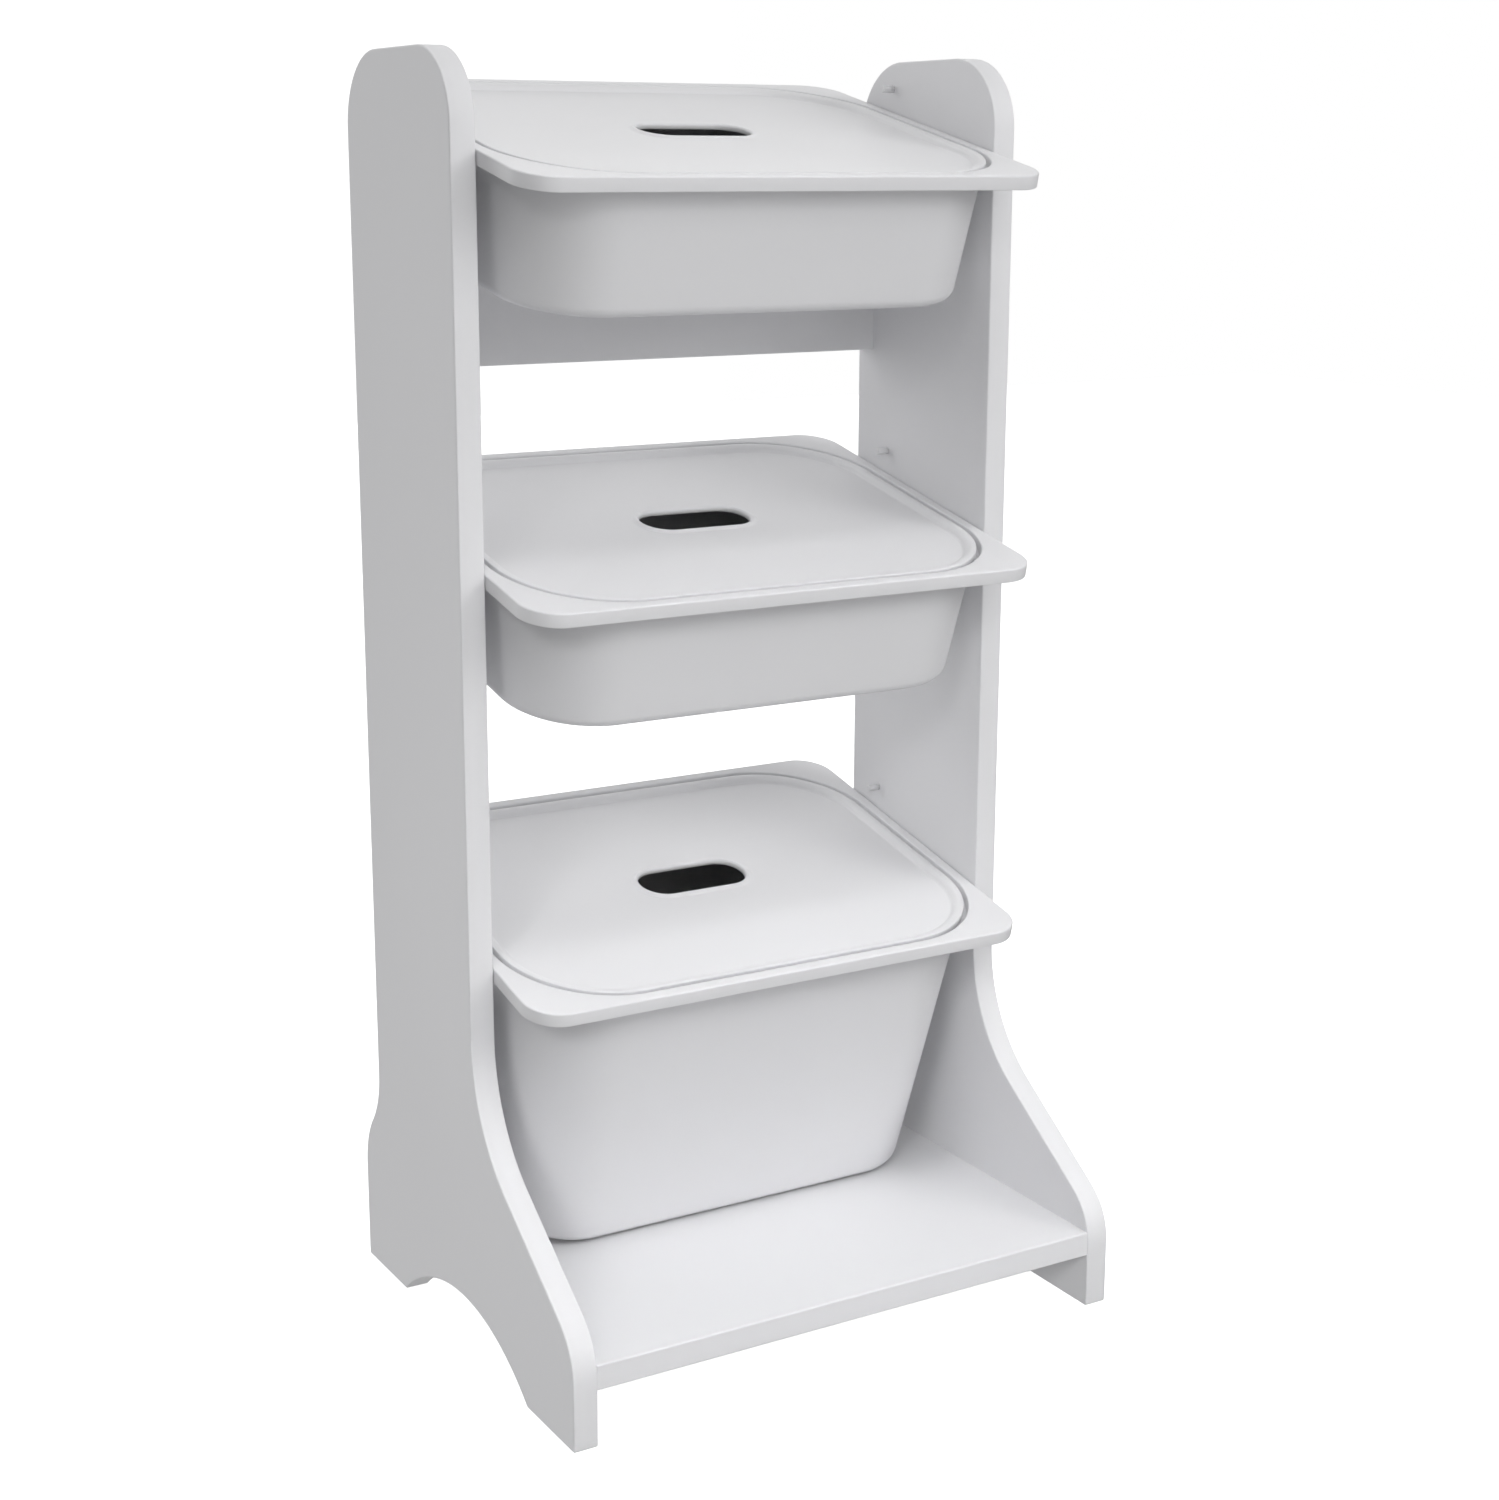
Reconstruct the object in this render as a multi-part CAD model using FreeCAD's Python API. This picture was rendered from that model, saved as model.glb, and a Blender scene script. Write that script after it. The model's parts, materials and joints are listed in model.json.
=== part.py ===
import FreeCAD, Part
import math
import os

# Toy storage rack: two side panels, a shelf and a rail carry three tilted bins with lids.
# Millimetres. X across, Y front to back (front is negative), Z up from the floor.
# The origin is on the floor, at the middle of the whole object's width and depth.

Vector = FreeCAD.Vector
across = Vector(1, 0, 0)
upward = Vector(0, 0, 1)
centre = Vector(0, 0, 0)
flat = 0.01                     # an edge that spans less than this lies in one plane

# Boards
board = 18.0                    # thickness of panels, shelf and rail
inner_half = 200.4              # from the middle to a side panel's inner face
height = 888.0
edge_round = 1.2                # worn-smooth arris of the painted boards
foot_front = -195.0
foot_rear = foot_front + 346.0
foot_length = 70.0              # each foot on the floor, front to back
arch_height = 38.5
post_front = foot_front + 148.0
post_rear = foot_front + 317.0
top_corner = 50.0
front_curve_start = 235.0       # height where the front edge leaves the straight post
front_hollow = 115.0
front_slope = 55.0              # degrees from upright, between the hollow and the nose
front_nose = 45.0
rear_curve_top = 155.0
rear_curve_low = 75.0

shelf_low = 39.5
shelf_front = foot_front + 0.8
shelf_rear = foot_rear - 2.0
rail_low = 675.0
rail_high = 750.0
rail_rear = post_rear - 2.0

# Bins and lids, in each bin's own frame: x across, y up the slope, z square to the rim, rim top at 0
tilt = 13.05                    # degrees, front down
levels = {
    "top": {"rim_y": 28.0, "rim_z": 840.2, "depth": 98.5},
    "middle": {"rim_y": 28.0, "rim_z": 570.2, "depth": 98.5},
    "bottom": {"rim_y": 33.0, "rim_z": 301.4, "depth": 223.0},
}
wall = 2.4
rim_half_x = 199.7
rim_half_y = 150.0
rim_corner = 26.0
rim_skirt = 10.0                # height of the rim's outer skirt
mouth_half_x = 191.0            # recess that takes the lid
mouth_half_y = 141.3
mouth_corner = 79.5
ledge_depth = 7.4               # top of the ledge that the lid rests on
body_half_x = 185.7             # body's outer face, carried up to the rim plane
body_half_y = 134.9
body_corner = 70.0
draft = 0.085                   # the walls lean in by this much per unit of depth
base_round = 9.0

rest_gap = 0.3                  # between a moving piece and what it rests on
lid_half_x = 187.5
lid_half_y = 137.8
lid_corner = 76.0
lid_skin = 2.0
bead_width = 10.0
bead_crest = -0.2
bead_foot_round = 2.5           # hollow where the bead's inner slope meets the flat
bead_edge_round = 0.8
lid_field = -4.3                # top of the lid's flat middle
slot_half_x = 43.0
slot_half_y = 18.5
lip_width = 6.0
lip_crest = -2.6
lip_foot = lid_field + 0.2      # the lip's inner edge, at the slot
lip_drop = 0.6                  # the slot's edge hangs this much below the skin
lip_thick = 1.6
rim_round = 1.2                 # rounding of the rim's top edges

# Pegs
peg_radius = 2.5
peg_proud = 10.0
peg_sunk = 10.0
hole_clearance = 0.05
support_y = (-45.0, 65.0)       # along the slope, from the middle of the rim
support_z = -rim_skirt - rest_gap - peg_radius
stop_y = 57.5
stop_z = 16.0

# Knock-down joints between the boards
dowel_radius = 4.0
dowel_length = 30.0
dowel_in_panel = 10.5
bolt_radius = 2.5
bolt_in_panel = 11.0
bolt_shaft = 3.0
bolt_stem = 1.5                 # radius of the thin neck behind the head
bolt_stem_length = 8.0
bolt_head = 3.2
cam_radius = 7.4
cam_height = 12.7
cam_centre = 24.0               # from the board's end to the middle of the cam
cam_pocket = 13.0
cam_chamber = 4.6               # radius of the hollow that turns round the bolt's head
cam_gap = 0.5                   # between the bolt and the cam's hollow, slot and gate
cross_length = 8.0              # screwdriver cross in the cam's face
cross_width = 1.4
cross_depth = 2.0
drill_gap = 0.5                 # a drilled hole is this much wider or deeper than its bolt or dowel
shelf_bolt_y = (foot_front + 41.0, foot_rear - 34.0)
shelf_dowel_y = (foot_front + 73.0, foot_rear - 66.0)
rail_dowel_step = 22.0


def edge_chain(points):
    """Wire through points. A plain point ends a straight edge, and a pair is an arc's middle and end."""
    edges = []
    here = points[0]
    for step in points[1:]:
        if isinstance(step[0], tuple):
            middle, there = step
            edges.append(Part.Arc(Vector(*here), Vector(*middle), Vector(*there)).toShape())
        else:
            there = step
            edges.append(Part.makeLine(Vector(*here), Vector(*there)))
        here = there
    return Part.Wire(edges)


def on_circle(middle, radius, degrees):
    angle = math.radians(degrees)
    return (middle[0] + radius * math.cos(angle), middle[1] + radius * math.sin(angle))


def rounded_block(half_x, half_y, corner, low, high):
    """Upright block whose plan is a rectangle with round corners."""
    edges = []
    for quarter in range(4):
        spin = FreeCAD.Rotation(upward, 90 * quarter)
        reach_x, reach_y = (half_x, half_y) if quarter % 2 == 0 else (half_y, half_x)
        pivot = Vector(reach_x - corner, reach_y - corner, low)
        start = pivot + Vector(corner, 0, 0)
        slant = pivot + Vector(corner, corner, 0).normalize() * corner
        end = pivot + Vector(0, corner, 0)
        edges.append(Part.Arc(*[spin.multVec(p) for p in (start, slant, end)]).toShape())
        side = Vector(2 * (reach_x - corner), 0, 0)
        if side.Length > flat:
            edges.append(Part.makeLine(spin.multVec(end), spin.multVec(end - side)))
    return Part.Face(Part.Wire(edges)).extrude(upward * (high - low))


def carried_round(points, half_x, half_y, corner):
    """Section carried round a rectangle with round corners. Its points are (distance outside, height)."""
    upright = [tuple((q[0], 0, q[1]) for q in p) if isinstance(p[0], tuple) else (p[0], 0, p[1])
               for p in points]
    face = Part.Face(edge_chain(upright + upright[:1]))
    pieces = []
    for quarter in range(4):
        reach_x, reach_y = (half_x, half_y) if quarter % 2 == 0 else (half_y, half_x)
        bend = face.translated(Vector(corner, 0, 0)).revolve(centre, upward, 90)
        bend.translate(Vector(reach_x - corner, reach_y - corner, 0))
        sides = [bend]
        length = 2 * (reach_x - corner)
        if length > flat:
            start = face.translated(Vector(corner, 0, 0)).rotated(centre, upward, 90)
            start.translate(Vector(reach_x - corner, reach_y - corner, 0))
            sides.append(start.extrude(Vector(-length, 0, 0)))
        pieces += [side.rotated(centre, upward, 90 * quarter) for side in sides]
    return pieces[0].multiFuse(pieces[1:]).removeSplitter()


def rod(radius, start_x, end_x, y, z):
    low = min(start_x, end_x)
    return Part.makeCylinder(radius, abs(end_x - start_x), Vector(low, y, z), across)


def to_row(y, z, level):
    """Row position of a point that lies y up the slope and z square to a bin's rim."""
    angle = math.radians(tilt)
    row_y = levels[level]["rim_y"] + y * math.cos(angle) - z * math.sin(angle)
    row_z = levels[level]["rim_z"] + y * math.sin(angle) + z * math.cos(angle)
    return row_y, row_z


def set_in_rack(shape, level):
    placed = shape.rotated(centre, across, tilt)
    placed.translate(Vector(0, levels[level]["rim_y"], levels[level]["rim_z"]))
    return placed


def panel_outline():
    """Side panel's outline from the front foot, up the front, over the top and down the back, as (y, z)."""
    slope = math.radians(front_slope)
    hollow_middle = (post_front - front_hollow, front_curve_start)
    hollow_end = on_circle(hollow_middle, front_hollow, -front_slope)
    nose_y = foot_front + front_nose
    nose_start_y = nose_y - front_nose * math.cos(slope)
    drop = (hollow_end[0] - nose_start_y) / math.tan(slope)
    nose_middle = (nose_y, hollow_end[1] - drop - front_nose * math.sin(slope))
    nose_end = on_circle(nose_middle, front_nose, 180)
    nose_start = on_circle(nose_middle, front_nose, 180 - front_slope)

    rise = rear_curve_top - rear_curve_low
    jut = foot_rear - post_rear
    half_turn = math.atan(jut / rise)
    rear_radius = rise / (2 * math.sin(2 * half_turn))
    turn = math.degrees(2 * half_turn)
    heel_middle = (foot_rear - rear_radius, rear_curve_low)
    waist_middle = (post_rear + rear_radius, rear_curve_top)

    front_top = (post_front + top_corner, height - top_corner)
    rear_top = (post_rear - top_corner, height - top_corner)
    arch_front = foot_front + foot_length
    arch_rear = foot_rear - foot_length
    return [
        (foot_front, 0.0),
        nose_end,
        (on_circle(nose_middle, front_nose, 180 - front_slope / 2), nose_start),
        hollow_end,
        (on_circle(hollow_middle, front_hollow, -front_slope / 2), (post_front, front_curve_start)),
        (post_front, height - top_corner),
        (on_circle(front_top, top_corner, 135), (front_top[0], height)),
        (rear_top[0], height),
        (on_circle(rear_top, top_corner, 45), (post_rear, height - top_corner)),
        (post_rear, rear_curve_top),
        (on_circle(waist_middle, rear_radius, 180 + turn / 2),
         on_circle(waist_middle, rear_radius, 180 + turn)),
        (on_circle(heel_middle, rear_radius, turn / 2), (foot_rear, rear_curve_low)),
        (foot_rear, 0.0),
        (arch_rear, 0.0),
        (((arch_front + arch_rear) / 2, arch_height), (arch_front, 0.0)),
        (foot_front, 0.0),
    ]


def side_panel(side):
    """One upright board, with blind holes in its inner face for the pegs, dowels and bolts."""
    inner = side * inner_half
    outer = side * (inner_half + board)
    outline = [tuple((outer,) + q for q in p) if isinstance(p[0], tuple) else (outer,) + p
               for p in panel_outline()]
    panel = Part.Face(edge_chain(outline)).extrude(Vector(inner - outer, 0, 0))
    rim_edges = [edge for edge in panel.Edges if edge.BoundBox.XLength < flat]
    panel = panel.makeFillet(edge_round, rim_edges)

    holes = []
    for y, z in peg_places():
        holes.append(rod(peg_radius + hole_clearance, inner, inner + side * peg_sunk, y, z))
    for y, z in dowel_places():
        holes.append(rod(dowel_radius + hole_clearance, inner, inner + side * dowel_in_panel, y, z))
    for y, z in bolt_places():
        holes.append(rod(bolt_radius + hole_clearance, inner, inner + side * bolt_in_panel, y, z))
    return panel.cut(Part.makeCompound(holes))


def peg_places():
    places = []
    for level in levels:
        places += [to_row(y, support_z, level) for y in support_y]
        places.append(to_row(stop_y, stop_z, level))
    return places


def shelf_dowels():
    return [(y, shelf_low + board / 2) for y in shelf_dowel_y]


def shelf_bolts():
    return [(y, shelf_low + board / 2) for y in shelf_bolt_y]


def rail_dowels():
    middle = (rail_low + rail_high) / 2
    return [(rail_rear - board / 2, middle + step) for step in (-rail_dowel_step, rail_dowel_step)]


def rail_bolts():
    return [(rail_rear - board / 2, (rail_low + rail_high) / 2)]


def dowel_places():
    return shelf_dowels() + rail_dowels()


def bolt_places():
    return shelf_bolts() + rail_bolts()


def pegs(places):
    """Round pegs, pressed into both side panels and standing proud of their inner faces."""
    made = []
    for side in (-1, 1):
        for y, z in places:
            tip = side * (inner_half - peg_proud)
            made.append(rod(peg_radius, tip, side * (inner_half + peg_sunk), y, z))
    return Part.makeCompound(made)


def dowels(places):
    made = []
    for side in (-1, 1):
        sunk = side * (inner_half + dowel_in_panel)
        for y, z in places:
            made.append(rod(dowel_radius, sunk, sunk - side * dowel_length, y, z))
    return Part.makeCompound(made)


def cam_bolts(places):
    """Steel bolts: a threaded end in the panel, a shaft in the board's end and a head inside the cam."""
    made = []
    for side in (-1, 1):
        end = side * inner_half
        for y, z in places:
            grip = end - side * cam_centre
            neck = grip + side * bolt_stem_length
            thread = rod(bolt_radius, end + side * bolt_in_panel, end, y, z)
            shaft = rod(bolt_shaft, end, neck, y, z)
            stem = rod(bolt_stem, neck, grip, y, z)
            head = Part.makeSphere(bolt_head, Vector(grip, y, z))
            made.append(thread.multiFuse([shaft, stem, head]).removeSplitter())
    return Part.makeCompound(made)


def cam_lock(side):
    """Cam, turned shut: a hollow round the bolt's head, a slot for its stem and a gate for the head."""
    drum = Part.makeCylinder(cam_radius, cam_height, Vector(0, 0, -cam_height))
    bolt_line = cam_pocket - cam_height - board / 2
    below = -2 * cam_height

    def opening(width, roof):
        return Part.makeBox(2 * cam_radius, width, roof - below, Vector(0, -width / 2, below))

    roof = bolt_line + bolt_head + cam_gap
    hollow = Part.makeCylinder(cam_chamber, roof - below, Vector(0, 0, below))
    slot = opening(2 * (bolt_stem + cam_gap), bolt_line + bolt_stem + cam_gap)
    gate = opening(2 * (bolt_head + cam_gap), roof)
    slot.rotate(centre, upward, 90 - 90 * side)
    gate.rotate(centre, upward, 90)
    cross = [Part.makeBox(long, wide, cross_depth, Vector(-long / 2, -wide / 2, -cross_depth))
             for long, wide in ((cross_length, cross_width), (cross_width, cross_length))]
    return drum.cut(Part.makeCompound([hollow, slot, gate] + cross))


def cams(places, turn):
    """Cam locks in their pockets. The turn carries a cam's face from up to the pocket's mouth."""
    made = []
    for side in (-1, 1):
        for y, z in places:
            lock = cam_lock(side)
            lock.translate(Vector(0, 0, board / 2 - cam_pocket + cam_height))
            lock.rotate(centre, across, turn)
            lock.translate(Vector(side * (inner_half - cam_centre), y, z))
            made.append(lock)
    return Part.makeCompound(made)


def pocket_cuts(bolt_spots, dowel_spots, turn):
    """Everything drilled out of a board for its dowels, bolts and cams."""
    cuts = []
    for side in (-1, 1):
        end = side * inner_half
        for y, z in dowel_spots:
            depth = dowel_length - dowel_in_panel + drill_gap
            cuts.append(rod(dowel_radius + hole_clearance, end, end - side * depth, y, z))
        for y, z in bolt_spots:
            cuts.append(rod(bolt_shaft + drill_gap, end, end - side * cam_centre, y, z))
            bottom = Vector(0, 0, board / 2 - cam_pocket)
            pocket = Part.makeCylinder(cam_radius + hole_clearance, cam_pocket, bottom)
            pocket.rotate(centre, across, turn)
            pocket.translate(Vector(side * (inner_half - cam_centre), y, z))
            cuts.append(pocket)
    return Part.makeCompound(cuts)


def cross_board(front, rear, low, high):
    """Board between the side panels, with its long edges eased."""
    blank = Part.makeBox(2 * inner_half, rear - front, high - low, Vector(-inner_half, front, low))
    long_edges = [edge for edge in blank.Edges if edge.BoundBox.XLength > inner_half]
    return blank.makeFillet(edge_round, long_edges)


def tub(depth):
    """One bin: drafted walls with a rounded foot, a ledge for the lid and a rim with a hanging skirt."""
    lean = math.atan(draft)
    tangent = math.tan((math.pi / 2 - lean) / 2)
    run = base_round * tangent
    floor_half_x = body_half_x - draft * depth - run
    floor_half_y = body_half_y - draft * depth - run
    floor_corner = body_corner - draft * depth - run
    ledge_low = -ledge_depth - wall

    def bend(radius):
        """Middle and end of the arc from the floor to the wall, centred over the floor's edge."""
        pivot = (0.0, base_round - depth)
        return (on_circle(pivot, radius, (-90 - math.degrees(lean)) / 2),
                on_circle(pivot, radius, -math.degrees(lean)))

    outer_foot = bend(base_round)
    inner_foot = bend(base_round - wall)
    rise_outer = ledge_low - outer_foot[1][1]
    rise_inner = ledge_low - inner_foot[1][1]
    outer_top = (outer_foot[1][0] + rise_outer * draft, ledge_low)
    inner_top = (inner_foot[1][0] + rise_inner * draft, ledge_low)
    section = [(0.0, -depth), outer_foot, outer_top, inner_top, inner_foot[1],
               (inner_foot[0], (0.0, wall - depth))]
    walls = carried_round(section, floor_half_x, floor_half_y, floor_corner)
    floor = rounded_block(floor_half_x, floor_half_y, floor_corner, -depth, wall - depth)

    opening = [floor_half_x + inner_top[0], floor_half_y + inner_top[0], floor_corner + inner_top[0]]
    mouth = [mouth_half_x, mouth_half_y, mouth_corner]
    outline = [rim_half_x, rim_half_y, rim_corner]

    def frame(outside, inside, low, high):
        return rounded_block(*outside, low, high).cut(rounded_block(*inside, low - 1, high + 1))

    plate = frame(outline, mouth, -wall, 0.0)
    skirt = frame(outline, [size - wall for size in outline], -rim_skirt, 0.0)
    collar = frame([size + wall for size in mouth], mouth, ledge_low, 0.0)
    ledge = frame([size + wall for size in mouth], opening, ledge_low, -ledge_depth)
    whole = walls.multiFuse([floor, plate, skirt, collar, ledge]).removeSplitter()
    boxes = [(edge, edge.BoundBox) for edge in whole.Edges]
    top_edges = [edge for edge, box in boxes if max(abs(box.ZMin), abs(box.ZMax)) < flat]
    return whole.makeFillet(rim_round, top_edges)


def cover():
    """One lid: a flat skin with a bead along its edge and a lipped hand slot in the middle."""
    field_half_x = lid_half_x - bead_width
    field_half_y = lid_half_y - bead_width
    field_corner = lid_corner - bead_width
    foot = rest_gap - ledge_depth
    skin_low = lid_field - lid_skin
    slot = [slot_half_x, slot_half_y, slot_half_y]

    # The bead's inner slope is a hollow arc, then a round one of the same angle that ends level.
    run = bead_width - lid_skin
    turn = 2 * math.degrees(math.atan((bead_crest - lid_field) / run))
    crest_round = run / math.sin(math.radians(turn)) - bead_foot_round

    def hollow_arc(radius, degrees):
        return on_circle((0.0, lid_field + bead_foot_round), radius, degrees - 90)

    def crest_arc(radius, degrees):
        return on_circle((run, bead_crest - crest_round), radius, degrees + 90)

    edge_turn = (bead_width - bead_edge_round, bead_crest - bead_edge_round)
    bead = [
        (0.0, lid_field),
        (hollow_arc(bead_foot_round, turn / 2), hollow_arc(bead_foot_round, turn)),
        (crest_arc(crest_round, turn / 2), (run, bead_crest)),
        (edge_turn[0], bead_crest),
        (on_circle(edge_turn, bead_edge_round, 45), (bead_width, edge_turn[1])),
        (bead_width, foot),
        (run, foot),
        (run, bead_crest - lid_skin),
        (crest_arc(crest_round - lid_skin, turn / 2), crest_arc(crest_round - lid_skin, turn)),
        (hollow_arc(bead_foot_round + lid_skin, turn / 2), (0.0, skin_low)),
    ]
    lip = [
        (lip_width, lid_field),
        ((lip_width / 2, lip_crest), (0.0, lip_foot)),
        (0.0, skin_low - lip_drop),
        (lip_thick, skin_low - lip_drop),
        (lip_thick + lip_drop, skin_low),
        (lip_width, skin_low),
    ]
    skin = rounded_block(field_half_x, field_half_y, field_corner, skin_low, lid_field)
    skin = skin.cut(rounded_block(*[size + lip_width for size in slot], skin_low - 1, lid_field + 1))
    return skin.multiFuse([
        carried_round(bead, field_half_x, field_half_y, field_corner),
        carried_round(lip, *slot),
    ]).removeSplitter()


under = 180                     # a cam pocket in the shelf opens downwards
behind = -90                    # a cam pocket in the rail opens to the rear

nodes = {
    "side_panel_left": side_panel(-1),
    "side_panel_right": side_panel(1),
    "bottom_shelf": cross_board(shelf_front, shelf_rear, shelf_low, shelf_low + board).cut(
        pocket_cuts(shelf_bolts(), shelf_dowels(), under)),
    "back_rail": cross_board(rail_rear - board, rail_rear, rail_low, rail_high).cut(
        pocket_cuts(rail_bolts(), rail_dowels(), behind)),
    "shelf_dowels": dowels(shelf_dowels()),
    "rail_dowels": dowels(rail_dowels()),
    "shelf_cam_bolts": cam_bolts(shelf_bolts()),
    "rail_cam_bolts": cam_bolts(rail_bolts()),
    "shelf_cam_locks": cams(shelf_bolts(), under),
    "rail_cam_locks": cams(rail_bolts(), behind),
}
for level, place in levels.items():
    nodes["bin_" + level] = set_in_rack(tub(place["depth"]), level)
    nodes["lid_" + level] = set_in_rack(cover(), level)
    nodes["support_pegs_" + level] = pegs([to_row(y, support_z, level) for y in support_y])
    nodes["stop_pegs_" + level] = pegs([to_row(stop_y, stop_z, level)])

os.makedirs("parts", exist_ok=True)
for name, shape in nodes.items():
    shape.exportStep("parts/" + name + ".step")
    print(name, "solids", len(shape.Solids), "valid", shape.isValid(), "volume", round(shape.Volume))

box = Part.makeCompound(list(nodes.values())).optimalBoundingBox()
print("width", round(box.XMin, 2), round(box.XMax, 2))
print("depth", round(box.YMin, 2), round(box.YMax, 2))
print("height", round(box.ZMin, 2), round(box.ZMax, 2))
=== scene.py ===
import json
import math

import bpy
import numpy as np
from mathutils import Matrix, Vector


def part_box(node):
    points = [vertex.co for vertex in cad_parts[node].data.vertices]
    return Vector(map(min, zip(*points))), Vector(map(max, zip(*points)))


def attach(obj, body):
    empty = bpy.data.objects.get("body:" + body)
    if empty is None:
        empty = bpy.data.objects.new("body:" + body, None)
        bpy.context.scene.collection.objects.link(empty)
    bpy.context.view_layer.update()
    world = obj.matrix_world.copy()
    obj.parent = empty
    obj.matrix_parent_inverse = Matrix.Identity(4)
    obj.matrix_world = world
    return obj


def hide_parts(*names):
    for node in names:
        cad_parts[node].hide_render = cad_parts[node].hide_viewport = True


# A toy storage rack: painted side boards, a shelf and a rail carry tilted bins with lids on pegs.
# Metres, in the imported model's frame: X across, Y front to back, Z up from the floor.

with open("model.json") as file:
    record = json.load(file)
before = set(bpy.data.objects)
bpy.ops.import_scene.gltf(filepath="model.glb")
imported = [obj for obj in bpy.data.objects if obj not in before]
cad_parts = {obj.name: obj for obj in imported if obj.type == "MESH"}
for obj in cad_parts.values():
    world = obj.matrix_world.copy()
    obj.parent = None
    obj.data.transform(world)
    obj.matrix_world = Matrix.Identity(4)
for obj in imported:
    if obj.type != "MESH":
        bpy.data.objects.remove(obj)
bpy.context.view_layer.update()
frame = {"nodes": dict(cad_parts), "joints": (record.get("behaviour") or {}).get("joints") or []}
scene = bpy.context.scene
print("frame loaded:", len(frame["nodes"]), "nodes")


def arc(centre, radius, start, end, steps):
    # Points on a circle between two angles in degrees, both ends included.
    angle = np.radians(np.linspace(start, end, steps + 1))
    return np.column_stack([centre[0] + radius * np.cos(angle), centre[1] + radius * np.sin(angle)])


def closedSkin(name, grids, looped=False):
    # A closed skin over each grid of points. A grid's row runs round the piece and joins its own
    # start, and neighbouring rows are joined by four-sided faces. When looped, the last row joins
    # the first; otherwise each end row is filled by one flat face. Faces are turned over where the
    # volume, a sixth of the sum of the triangles' triple products, comes out negative.
    points, faces, first = [], [], 0
    for grid in grids:
        rows, columns = grid.shape[:2]
        index = np.arange(rows * columns).reshape(rows, columns)
        above = np.roll(index, -1, axis=0)
        quads = np.stack([index, np.roll(index, -1, axis=1), np.roll(above, -1, axis=1), above], axis=-1)
        quads = (quads if looped else quads[:-1]).reshape(-1, 4)
        caps = [] if looped else [index[0, ::-1], index[-1]]
        flat = grid.reshape(-1, 3)
        fans = [np.column_stack([np.full(len(f) - 2, f[0]), f[1:-1], f[2:]]) for f in caps]
        triangles = np.vstack([quads[:, [0, 1, 2]], quads[:, [0, 2, 3]], *fans])
        a, b, c = (flat[triangles[:, k]] for k in range(3))
        turn = -1 if np.einsum("ij,ij->", a, np.cross(b, c)) < 0 else 1
        faces += [(face[::turn] + first).tolist() for face in [*quads, *caps]]
        points.append(flat)
        first += rows * columns
    mesh = bpy.data.meshes.new(name)
    mesh.from_pydata(np.vstack(points).tolist(), [], faces)
    mesh.polygons.foreach_set("use_smooth", np.ones(len(mesh.polygons), bool))
    mesh.update()
    piece = bpy.data.objects.new(name, mesh)
    scene.collection.objects.link(piece)
    return piece


def dress(piece, material, body, node):
    piece.data.materials.append(material)
    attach(piece, body)
    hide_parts(node)


# Finishes

def shaderNode(tree, kind, inputs, **settings):
    made = tree.nodes.new(kind)
    for key, value in settings.items():
        setattr(made, key, value)
    for socket, value in inputs.items():
        if isinstance(value, bpy.types.NodeSocket):
            tree.links.new(value, made.inputs[socket])
        else:
            made.inputs[socket].default_value = value
    return made


def speckle(tree, scale, detail=2.0, stretch=(1.0, 1.0, 1.0)):
    # Noise in the object's own metres: its cells are about one over the scale across.
    place = shaderNode(tree, "ShaderNodeTexCoord", {})
    spread = shaderNode(tree, "ShaderNodeMapping", {"Vector": place.outputs["Object"], "Scale": stretch})
    noise = shaderNode(tree, "ShaderNodeTexNoise",
                       {"Vector": spread.outputs["Vector"], "Scale": scale, "Detail": detail})
    return noise.outputs["Fac"]


def between(tree, amount, low, high):
    # Carries the noise's middle range, 0.3 to 0.7, onto low to high.
    ramp = shaderNode(tree, "ShaderNodeMapRange",
                      {"Value": amount, "From Min": 0.3, "From Max": 0.7, "To Min": low, "To Max": high})
    return ramp.outputs["Result"]


def newFinish(name, look):
    # Two tones drift into each other, the gloss wanders with them, and a fine grain lies on a slow wave.
    made = bpy.data.materials.new(name)
    made.use_nodes = True
    tree = made.node_tree
    shader = tree.nodes["Principled BSDF"]
    drift = speckle(tree, look["driftScale"])
    grain = speckle(tree, look["grainScale"], stretch=look.get("stretch", (1.0, 1.0, 1.0)))
    tone = shaderNode(tree, "ShaderNodeMix", {"Factor": between(tree, drift, 0.0, 1.0)}, data_type="RGBA")
    tone.inputs["A"].default_value = (*look["toneLow"], 1.0)
    tone.inputs["B"].default_value = (*look["toneHigh"], 1.0)
    tree.links.new(tone.outputs["Result"], shader.inputs["Base Color"])
    tree.links.new(between(tree, grain, *look["roughness"]), shader.inputs["Roughness"])
    wave = speckle(tree, look["waveScale"], 1.0)
    slow = shaderNode(tree, "ShaderNodeBump",
                      {"Height": wave, "Distance": look["waveDepth"], "Strength": 1.0})
    fine = shaderNode(tree, "ShaderNodeBump", {"Height": grain, "Distance": look["grainDepth"],
                                               "Strength": 1.0, "Normal": slow.outputs["Normal"]})
    tree.links.new(fine.outputs["Normal"], shader.inputs["Normal"])
    shader.inputs["Metallic"].default_value = look.get("metallic", 0.0)
    shader.inputs["Specular IOR Level"].default_value = look.get("specular", 0.5)
    return made


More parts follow.
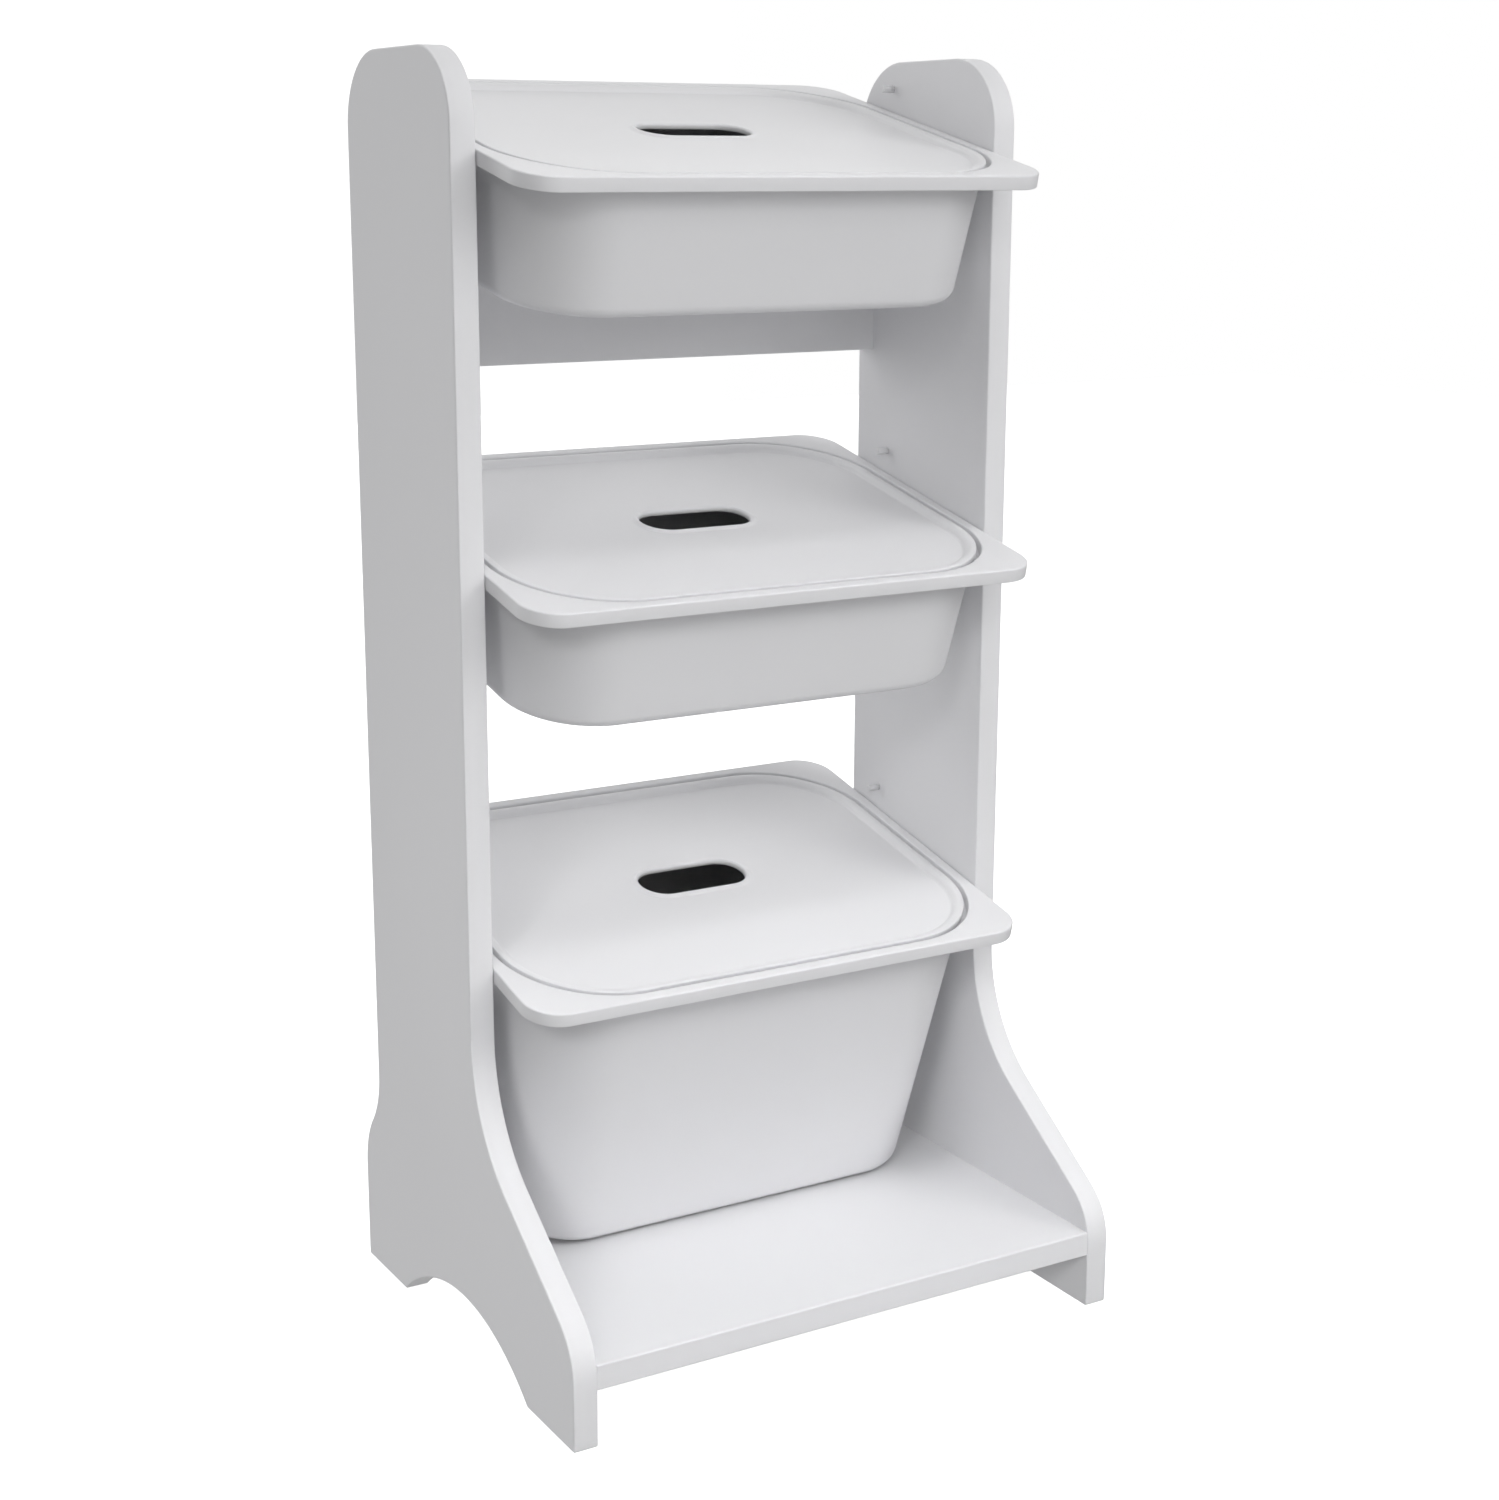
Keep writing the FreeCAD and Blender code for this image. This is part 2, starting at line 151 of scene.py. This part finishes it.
looks = {
    "boardPaint": {                      # sprayed satin paint over fibreboard
        "toneLow": (0.770, 0.770, 0.785), "toneHigh": (0.790, 0.790, 0.805), "driftScale": 3.0,
        "grainScale": 700.0, "grainDepth": 0.00003, "roughness": (0.42, 0.52),
        "waveScale": 30.0, "waveDepth": 0.00010, "specular": 0.3,
    },
    "binPlastic": {                      # moulded, with a fine satin texture
        "toneLow": (0.775, 0.775, 0.790), "toneHigh": (0.795, 0.795, 0.810), "driftScale": 5.0,
        "grainScale": 1600.0, "grainDepth": 0.000015, "roughness": (0.36, 0.44),
        "waveScale": 14.0, "waveDepth": 0.00030, "specular": 0.3,
    },
    "lidPlastic": {
        "toneLow": (0.775, 0.775, 0.788), "toneHigh": (0.795, 0.795, 0.808), "driftScale": 5.0,
        "grainScale": 1600.0, "grainDepth": 0.000015, "roughness": (0.36, 0.44),
        "waveScale": 11.0, "waveDepth": 0.00030, "specular": 0.3,
    },
    "pegPlastic": {
        "toneLow": (0.74, 0.74, 0.75), "toneHigh": (0.78, 0.78, 0.79), "driftScale": 60.0,
        "grainScale": 2500.0, "grainDepth": 0.00001, "roughness": (0.30, 0.40),
        "waveScale": 200.0, "waveDepth": 0.00002, "specular": 0.3,
    },
    "camZinc": {                         # tumbled die casting
        "toneLow": (0.50, 0.50, 0.51), "toneHigh": (0.62, 0.62, 0.63), "driftScale": 150.0,
        "grainScale": 3000.0, "grainDepth": 0.00003, "roughness": (0.38, 0.58), "metallic": 1.0,
        "waveScale": 400.0, "waveDepth": 0.00005,
    },
    "boltSteel": {
        "toneLow": (0.58, 0.58, 0.60), "toneHigh": (0.70, 0.70, 0.71), "driftScale": 120.0,
        "grainScale": 2500.0, "grainDepth": 0.00001, "roughness": (0.25, 0.40), "metallic": 1.0,
        "waveScale": 300.0, "waveDepth": 0.00002,
    },
    "dowelWood": {                       # grain runs along the dowel
        "toneLow": (0.50, 0.33, 0.18), "toneHigh": (0.64, 0.46, 0.28), "driftScale": 90.0,
        "grainScale": 1500.0, "grainDepth": 0.00005, "roughness": (0.60, 0.80),
        "waveScale": 200.0, "waveDepth": 0.00005, "stretch": (0.08, 1.0, 1.0),
    },
}
finish = {name: newFinish(name, look) for name, look in looks.items()}
print("finishes made:", ", ".join(finish))

# Side boards

sideBoard = {
    "edgeRound": 0.0012,
    "footRound": 0.0016,       # at the upright corners of the feet
    "footLength": 0.070,
    "archHeight": 0.0385,
    "postFront": 0.148,        # behind the front of the foot
    "postRear": 0.317,
    "topCorner": 0.050,
    "curveStart": 0.235,       # where the front edge leaves the straight post
    "hollow": 0.115,
    "slope": 55.0,             # degrees from upright
    "nose": 0.045,
    "rearTop": 0.155,
    "rearLow": 0.075,
    "steps": 28,               # along each curve of the outline
    "footSteps": 4,
    "roundSteps": 5,
}


def boardOutline(size, front, rear, height):
    # Up the front, over the top, down the back and along the floor, as (y, z). Straight runs need no
    # points of their own; every curve is an arc that meets its neighbours smoothly.
    steps, slope = size["steps"], size["slope"]
    lean = math.radians(slope)
    post, back = front + size["postFront"], front + size["postRear"]
    hollowMiddle = (post - size["hollow"], size["curveStart"])
    hollow = arc(hollowMiddle, size["hollow"], -slope, 0, steps)
    noseY = front + size["nose"]
    drop = (hollow[0, 0] - noseY + size["nose"] * math.cos(lean)) / math.tan(lean)
    noseMiddle = (noseY, hollow[0, 1] - drop - size["nose"] * math.sin(lean))
    nose = arc(noseMiddle, size["nose"], 180, 180 - slope, steps)

    corner, top = size["topCorner"], height - size["topCorner"]
    jut, fall = rear - back, size["rearTop"] - size["rearLow"]
    turn = 2 * math.atan(jut / fall)
    radius = fall / (2 * math.sin(turn))
    turn = math.degrees(turn)
    waist = arc((back + radius, size["rearTop"]), radius, 180, 180 + turn, steps)
    heel = arc((rear - radius, size["rearLow"]), radius, turn, 0, steps)

    archFront, archRear = front + size["footLength"], rear - size["footLength"]
    half, rise = (archRear - archFront) / 2, size["archHeight"]
    archRadius = (half ** 2 + rise ** 2) / (2 * rise)
    archStart = math.degrees(math.atan2(archRadius - rise, half))
    archMiddle = ((archFront + archRear) / 2, rise - archRadius)
    arch = arc(archMiddle, archRadius, archStart, 180 - archStart, steps)

    ease = size["footRound"]
    return np.vstack([
        nose, hollow,
        arc((post + corner, top), corner, 180, 90, steps),
        arc((back - corner, top), corner, 90, 0, steps),
        waist, heel[1:],
        arc((rear - ease, ease), ease, 0, -90, size["footSteps"]),
        [(archRear + ease, 0.0)], arch, [(archFront - ease, 0.0)],
        arc((front + ease, ease), ease, -90, -180, size["footSteps"]),
    ])


def boardSkin(name, outline, inner, outer, edgeRound, steps):
    # The outline is carried through the board's thickness. Each point moves inwards along its mitre,
    # the sum of its two edges' normals stretched so that both edges move by the same distance.
    edge = np.roll(outline, -1, axis=0) - outline
    edge /= np.linalg.norm(edge, axis=1)[:, None]
    after = np.column_stack([-edge[:, 1], edge[:, 0]])
    before = np.roll(after, 1, axis=0)
    mitre = (before + after) / (1 + np.einsum("ij,ij->i", before, after))[:, None]
    turn = arc((edgeRound, edgeRound), edgeRound, 270, 180, steps)
    thick = abs(outer - inner)
    back = turn[::-1] * (1, -1) + (0, thick)
    flatRim = 1.2 * edgeRound          # under the feet's corner round, so the flat face never folds
    section = np.vstack([[(flatRim, 0.0)], turn, back, [(flatRim, thick)]])
    sideways = inner + section[:, 1] * np.sign(outer - inner)
    flat = outline[None, :, :] - section[:, 0, None, None] * mitre[None, :, :]
    across = np.broadcast_to(sideways[:, None, None], flat.shape[:2] + (1,))
    return closedSkin(name, [np.concatenate([across, flat], axis=-1)])


for side in ("left", "right"):
    low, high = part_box("side_panel_" + side)
    inner, outer = (high[0], low[0]) if side == "left" else (low[0], high[0])
    outline = boardOutline(sideBoard, low[1], high[1], high[2])
    panel = boardSkin(side + "SideBoard", outline, inner, outer,
                      sideBoard["edgeRound"], sideBoard["roundSteps"])
    dress(panel, finish["boardPaint"], "frame", "side_panel_" + side)
print("side boards made")

# Bins and lids. Their rows are rectangles with round corners, given as half width, half length,
# corner radius and height, in a frame whose z is square to the rim and whose y runs up the slope.

levels = {
    "top": {"rimY": 0.0280, "rimZ": 0.8402, "depth": 0.0985},
    "middle": {"rimY": 0.0280, "rimZ": 0.5702, "depth": 0.0985},
    "bottom": {"rimY": 0.0330, "rimZ": 0.3014, "depth": 0.2230},
}
lift = next(joint["axis"] for joint in frame["joints"] if joint["name"] == "top_lid_lift")
tilt = math.atan2(-lift[1], lift[2])


def roundedColumns(cornerSteps, longSteps, shortSteps):
    # Anticlockwise: a quarter turn at each corner, then a straight side. Each column holds the signs
    # that carry its corner's centre out, which slide from 1 to -1 along a side, and its angle.
    signs = [(1, 1), (-1, 1), (-1, -1), (1, -1)]
    parts = []
    for quarter in range(4):
        here, there = np.array(signs[quarter], float), np.array(signs[(quarter + 1) % 4], float)
        angle = np.linspace(90 * quarter, 90 * (quarter + 1), cornerSteps + 1)
        parts.append(np.column_stack([np.tile(here, (cornerSteps + 1, 1)), angle]))
        sideSteps = longSteps if quarter % 2 == 0 else shortSteps
        along = np.linspace(0, 1, sideSteps + 1)[1:-1, None]
        parts.append(np.column_stack([here + (there - here) * along, np.full(len(along), angle[-1])]))
    return np.vstack(parts)


def roundedRows(rows, columns):
    # x and y are the corner's centre plus the corner radius along the column's angle.
    halfX, halfY, corner, height = (rows[:, k, None] for k in range(4))
    signX, signY, angle = columns[:, 0], columns[:, 1], np.radians(columns[:, 2])
    x = (halfX - corner) * signX + corner * np.cos(angle)
    y = (halfY - corner) * signY + corner * np.sin(angle)
    return np.stack([x, y, np.broadcast_to(height, x.shape)], axis=-1)


def carried(base, section):
    # A section of (distance outside, height) set on a base of half width, half length and corner.
    section = np.atleast_2d(section)
    return np.column_stack([np.add.outer(section[:, 0], base), section[:, 1]])


def inRack(points, level):
    # Turned about X by the tilt, then moved to the middle of the rim.
    y, z = points[..., 1], points[..., 2]
    spot = levels[level]
    rowY = spot["rimY"] + y * math.cos(tilt) - z * math.sin(tilt)
    rowZ = spot["rimZ"] + y * math.sin(tilt) + z * math.cos(tilt)
    return np.stack([points[..., 0], rowY, rowZ], axis=-1)


tub = {
    "wall": 0.0024,
    "rim": (0.1997, 0.1500, 0.0260),
    "skirt": 0.0100,
    "mouth": (0.1910, 0.1413, 0.0795),
    "ledgeDepth": 0.0074,
    "body": (0.1857, 0.1349, 0.0700),
    "draft": 0.085,
    "baseRound": 0.0090,
    "rimRound": 0.0012,
    "softEdge": 0.0006,
    "steps": 10,
    "hemSteps": 4,
    "rimSteps": 6,
    "wallRows": 6,
    "columns": (24, 14, 9),
}


def tubRows(size, depth):
    # From the middle of the base outside, up the wall, round the rim's skirt and back down inside.
    wall, soft, top = size["wall"], size["softEdge"], size["rimRound"]
    rim, mouth = np.array(size["rim"]), np.array(size["mouth"])
    lean = math.atan(size["draft"])
    run = size["baseRound"] * math.tan((math.pi / 2 - lean) / 2)
    floor = np.array(size["body"]) - size["draft"] * depth - run
    ledgeLow, ledge, skirt = -size["ledgeDepth"] - wall, -size["ledgeDepth"], -size["skirt"]
    turn = -math.degrees(lean)
    foot = (0.0, size["baseRound"] - depth)
    outside = arc(foot, size["baseRound"], -90, turn, size["steps"])
    inside = arc(foot, size["baseRound"] - wall, turn, -90, size["steps"])
    climb = np.linspace(0, 1, size["wallRows"])[1:, None]
    outerTop = outside[-1] + (ledgeLow - soft - outside[-1, 1]) * np.array([size["draft"], 1.0])
    innerTop = inside[0] + (ledgeLow - inside[0, 1]) * np.array([size["draft"], 1.0])
    collar, hem = mouth + wall, rim - wall
    return np.vstack([
        carried(floor, [(-floor[2] / 2, -depth)]),
        carried(floor, outside),
        carried(floor, outside[-1] + (outerTop - outside[-1]) * climb),
        carried(floor, [(outerTop[0] + soft, ledgeLow)]),
        carried(collar, [(-soft, ledgeLow), (0, ledgeLow + soft), (0, -wall - soft), (soft, -wall)]),
        carried(hem, [(-soft, -wall), (0, -wall - soft), (0, skirt + soft), (soft, skirt)]),
        carried(rim, arc((-soft, skirt + soft), soft, -90, 0, size["hemSteps"])),
        carried(rim, [(0, skirt / 2)]),
        carried(rim, arc((-top, -top), top, 0, 90, size["rimSteps"])),
        carried(mouth, arc((top, -top), top, 90, 180, size["rimSteps"])),
        carried(mouth, [(0, ledge + soft), (-soft, ledge)]),
        carried(floor, [(innerTop[0] + soft, ledge), (innerTop[0], ledge - soft), innerTop]),
        carried(floor, innerTop + (inside[0] - innerTop) * climb[:-1]),
        carried(floor, inside),
        carried(floor, [(-floor[2] / 2, wall - depth)]),
    ])


cover = {
    "edge": (0.1875, 0.1378, 0.0760),
    "skin": 0.0020,
    "beadWidth": 0.0100,
    "beadCrest": -0.0002,
    "beadFootRound": 0.0025,   # hollow where the bead's inner slope meets the flat
    "beadEdgeRound": 0.0008,
    "field": -0.0043,          # top of the flat middle
    "foot": -0.0071,
    "slot": (0.0430, 0.0185, 0.0179),
    "lipWidth": 0.0060,
    "lipCrest": -0.0026,
    "lipInner": 0.0020,        # from the slot's edge to the lip's crest
    "lipDrop": 0.0006,
    "softEdge": 0.0005,
    "steps": (10, 14, 9),      # along the hollow, the crest and the lip
    "edgeSteps": 5,
    "columns": (24, 14, 9),
}


def coverRows(size):
    # From the slot's edge over the lip, the field and the bead to the outer edge, and back underneath.
    # The bead's inner slope is a hollow arc, then a round one of the same angle that ends level.
    skin, soft, field, width = size["skin"], size["softEdge"], size["field"], size["beadWidth"]
    crest, hollow, edge = size["beadCrest"], size["beadFootRound"], size["beadEdgeRound"]
    slot = np.array(size["slot"])
    border = np.array(size["edge"]) - width
    run = width - skin
    turn = 2 * math.atan((crest - field) / run)
    crown = run / math.sin(turn) - hollow
    turn = math.degrees(turn)
    footMiddle, crownMiddle = (0.0, field + hollow), (run, crest - crown)
    hollowSteps, crownSteps, lipSteps = size["steps"]

    lipRise, lipInner, lipWidth = size["lipCrest"] - field, size["lipInner"], size["lipWidth"]
    slide = np.linspace(0, 1, lipSteps)[1:]
    lipOuter = np.column_stack([lipInner + (lipWidth - lipInner) * slide,
                                field + lipRise * (0.5 + 0.5 * np.cos(math.pi * slide))])
    lipTurn = arc((lipInner, size["lipCrest"] - lipInner), lipInner, 180, 90, lipSteps)
    low, drop = field - skin, field - skin - size["lipDrop"]
    return np.vstack([
        carried(slot, [(0, drop + soft)]),
        carried(slot, lipTurn),
        carried(slot, lipOuter),
        carried(border, arc(footMiddle, hollow, -90, turn - 90, hollowSteps)),
        carried(border, arc(crownMiddle, crown, turn + 90, 90, crownSteps)[1:]),
        carried(border, arc((width - edge, crest - edge), edge, 90, 0, size["edgeSteps"])),
        carried(border, [(width, size["foot"] + soft), (width - soft, size["foot"])]),
        carried(border, [(run + soft, size["foot"]), (run, size["foot"] + soft), (run, crest - skin)]),
        carried(border, arc(crownMiddle, crown - skin, 90, turn + 90, crownSteps)[1:]),
        carried(border, arc(footMiddle, hollow + skin, turn - 90, -90, hollowSteps)[1:]),
        carried(slot, [(lipWidth, low), (skin + soft, low), (skin, drop), (soft, drop)]),
    ])


for level, spot in levels.items():
    rows = roundedRows(tubRows(tub, spot["depth"]), roundedColumns(*tub["columns"]))
    tray = closedSkin(level + "Bin", [inRack(rows, level)])
    dress(tray, finish["binPlastic"], "bin_" + level, "bin_" + level)
    rows = roundedRows(coverRows(cover), roundedColumns(*cover["columns"]))
    lid = closedSkin(level + "Lid", [inRack(rows, level)], looped=True)
    dress(lid, finish["lidPlastic"], "lid_" + level, "lid_" + level)
print("bins and lids made")

# Pegs

peg = {
    "radius": 0.0025,
    "proud": 0.0100,
    "sunk": 0.0003,
    "tip": 0.0007,
    "supportY": (-0.045, 0.065),
    "supportZ": -0.0128,
    "stopY": (0.0575,),
    "stopZ": 0.0160,
    "steps": 20,
    "tipSteps": 5,
}


def pegGrid(size, wallX, side, y, z):
    # A circle carried along X, shrinking by a quarter round at the tip.
    tipMiddle = (size["radius"] - size["tip"], size["proud"] - size["tip"])
    turn = arc(tipMiddle, size["tip"], 0, 90, size["tipSteps"])
    section = np.vstack([[(size["radius"], -size["sunk"])], turn, [(size["radius"] / 2, size["proud"])]])
    angle = np.linspace(0, 2 * math.pi, size["steps"], endpoint=False)
    x = np.broadcast_to((side * (wallX - section[:, 1]))[:, None], (len(section), size["steps"]))
    ringY = y + section[:, 0, None] * np.cos(angle)
    ringZ = z + section[:, 0, None] * np.sin(angle)
    return np.stack([x, ringY, ringZ], axis=-1)


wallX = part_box("side_panel_right")[0][0]
for level in levels:
    for kind in ("support", "stop"):
        spots = np.array([(0.0, y, peg[kind + "Z"]) for y in peg[kind + "Y"]])
        placed = inRack(spots, level)
        grids = [pegGrid(peg, wallX, side, y, z) for side in (-1, 1) for _, y, z in placed]
        pegs = closedSkin(level + kind.capitalize() + "Pegs", grids)
        dress(pegs, finish["pegPlastic"], "frame", kind + "_pegs_" + level)
print("pegs made")

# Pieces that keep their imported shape

keptFinish = {
    "bottom_shelf": "boardPaint",
    "back_rail": "boardPaint",
    "shelf_dowels": "dowelWood",
    "rail_dowels": "dowelWood",
    "shelf_cam_bolts": "boltSteel",
    "rail_cam_bolts": "boltSteel",
    "shelf_cam_locks": "camZinc",
    "rail_cam_locks": "camZinc",
}
for node, name in keptFinish.items():
    for place in frame["nodes"][node].material_slots:
        place.material = finish[name]
print("kept pieces dressed")

# Floor, light and camera

studio = {
    "floorSize": 12.0,
    "floorTones": ((0.86, 0.86, 0.86), (0.88, 0.88, 0.88)),
    "floorPatches": 2.0,       # tone patches to the metre
    "floorRoughness": 0.9,
    "floorGlow": 0.85,
    "glow": {"X": (0.0, 0.0), "Y": (0.61, 1.35), "Z": (0.47, 0.78)},      # towards minus and plus
    "lamps": {                 # place, what it is aimed at, size in metres, spread in degrees, watts
        "rightLamp": ((2.4, -2.4, 2.0), (0.0, 0.0, 0.45), 2.0, 180, 40.3),
        "rearLamp": ((-2.2, 2.2, 1.6), (0.0, 0.0, 0.45), 2.0, 180, 14.2),
        "nearLamp": ((-0.2, -1.4, 1.2), (0.0, -0.05, 0.2), 0.8, 180, 2.75),
        "leftSpot": ((-1.8, -1.8, 1.5), (0.0, -0.1, 0.05), 0.8, 30, 0.65),
        "topSpot": ((0.0, -1.0, 2.6), (0.0, -0.2, 0.0), 0.6, 25, 0.39),
    },
}


def floorFinish():
    made = bpy.data.materials.new("floorWhite")
    made.use_nodes = True
    tree = made.node_tree
    shader = tree.nodes["Principled BSDF"]
    patch = speckle(tree, studio["floorPatches"])
    tone = shaderNode(tree, "ShaderNodeMix", {"Factor": between(tree, patch, 0.0, 1.0)}, data_type="RGBA")
    low, high = studio["floorTones"]
    tone.inputs["A"].default_value = (*low, 1.0)
    tone.inputs["B"].default_value = (*high, 1.0)
    tree.links.new(tone.outputs["Result"], shader.inputs["Base Color"])
    shader.inputs["Roughness"].default_value = studio["floorRoughness"]
    shader.inputs["Emission Color"].default_value = (1.0, 1.0, 1.0, 1.0)
    shader.inputs["Emission Strength"].default_value = studio["floorGlow"]
    return made


half = studio["floorSize"] / 2
floorMesh = bpy.data.meshes.new("floor")
corners = [(-half, -half, 0), (half, -half, 0), (half, half, 0), (-half, half, 0)]
floorMesh.from_pydata(corners, [], [(0, 1, 2, 3)])
floorMesh.materials.append(floorFinish())
floor = bpy.data.objects.new("floor", floorMesh)
scene.collection.objects.link(floor)
floor.visible_diffuse = False
floor.visible_glossy = False
floor.visible_shadow = False


def softSky(glow):
    # A room of six soft walls: towards each wall the light is its own brightness, and in between it
    # is their mean, weighted by the squares of the direction's parts. The camera itself sees white.
    world = bpy.data.worlds.new("studio")
    scene.world = world
    world.use_nodes = True
    tree = world.node_tree
    tree.nodes.clear()
    place = shaderNode(tree, "ShaderNodeTexCoord", {})
    split = shaderNode(tree, "ShaderNodeSeparateXYZ", {"Vector": place.outputs["Generated"]})
    total = None
    for axis, (low, high) in glow.items():
        part = split.outputs[axis]
        ahead = shaderNode(tree, "ShaderNodeMath", {0: part, 1: 0.0}, operation="GREATER_THAN")
        wall = shaderNode(tree, "ShaderNodeMapRange",
                          {"Value": ahead.outputs["Value"], "To Min": low, "To Max": high})
        square = shaderNode(tree, "ShaderNodeMath", {0: part, 1: part}, operation="MULTIPLY")
        share = shaderNode(tree, "ShaderNodeMath", {0: square.outputs["Value"], 1: wall.outputs["Result"]},
                           operation="MULTIPLY").outputs["Value"]
        total = share if total is None else shaderNode(
            tree, "ShaderNodeMath", {0: total, 1: share}, operation="ADD").outputs["Value"]
    rays = shaderNode(tree, "ShaderNodeLightPath", {})
    shown = shaderNode(tree, "ShaderNodeMath",
                       {0: rays.outputs["Is Camera Ray"], 1: total}, operation="MAXIMUM")
    sky = shaderNode(tree, "ShaderNodeBackground",
                     {"Color": (1.0, 1.0, 1.0, 1.0), "Strength": shown.outputs["Value"]})
    out = shaderNode(tree, "ShaderNodeOutputWorld", {})
    tree.links.new(sky.outputs["Background"], out.inputs["Surface"])


softSky(studio["glow"])
for name, (place, aim, size, spread, watts) in studio["lamps"].items():
    lamp = bpy.data.objects.new(name, bpy.data.lights.new(name, "AREA"))
    lamp.data.shape = "DISK"
    lamp.data.size = size
    lamp.data.spread = math.radians(spread)
    lamp.data.energy = watts
    lamp.location = place
    lamp.rotation_mode = "QUATERNION"
    lamp.rotation_quaternion = (Vector(place) - Vector(aim)).to_track_quat("Z", "Y")
    lamp.visible_camera = False
    scene.collection.objects.link(lamp)

shot = {
    "place": (-0.85336, -1.47133, 0.8113),
    "azimuth": -30.05,
    "down": 13.0,              # degrees below level
    "focal": 2423.2,           # in pixels of a 1499 by 1500 frame
    "longSide": 1500.0,
    "middle": (712.33, 727.72),
    "frameMiddle": (749.5, 750.0),
    "sensor": 36.0,
}
camera = bpy.data.objects.new("camera", bpy.data.cameras.new("camera"))
camera.location = shot["place"]
camera.rotation_euler = (math.radians(90 - shot["down"]), 0.0, math.radians(shot["azimuth"]))
camera.data.sensor_width = shot["sensor"]
camera.data.lens = shot["focal"] * shot["sensor"] / shot["longSide"]
camera.data.shift_x = (shot["frameMiddle"][0] - shot["middle"][0]) / shot["longSide"]
camera.data.shift_y = (shot["middle"][1] - shot["frameMiddle"][1]) / shot["longSide"]
camera.data.clip_end = 50.0
scene.collection.objects.link(camera)
scene.camera = camera
scene.view_settings.view_transform = "Standard"
print("floor, light and camera set")
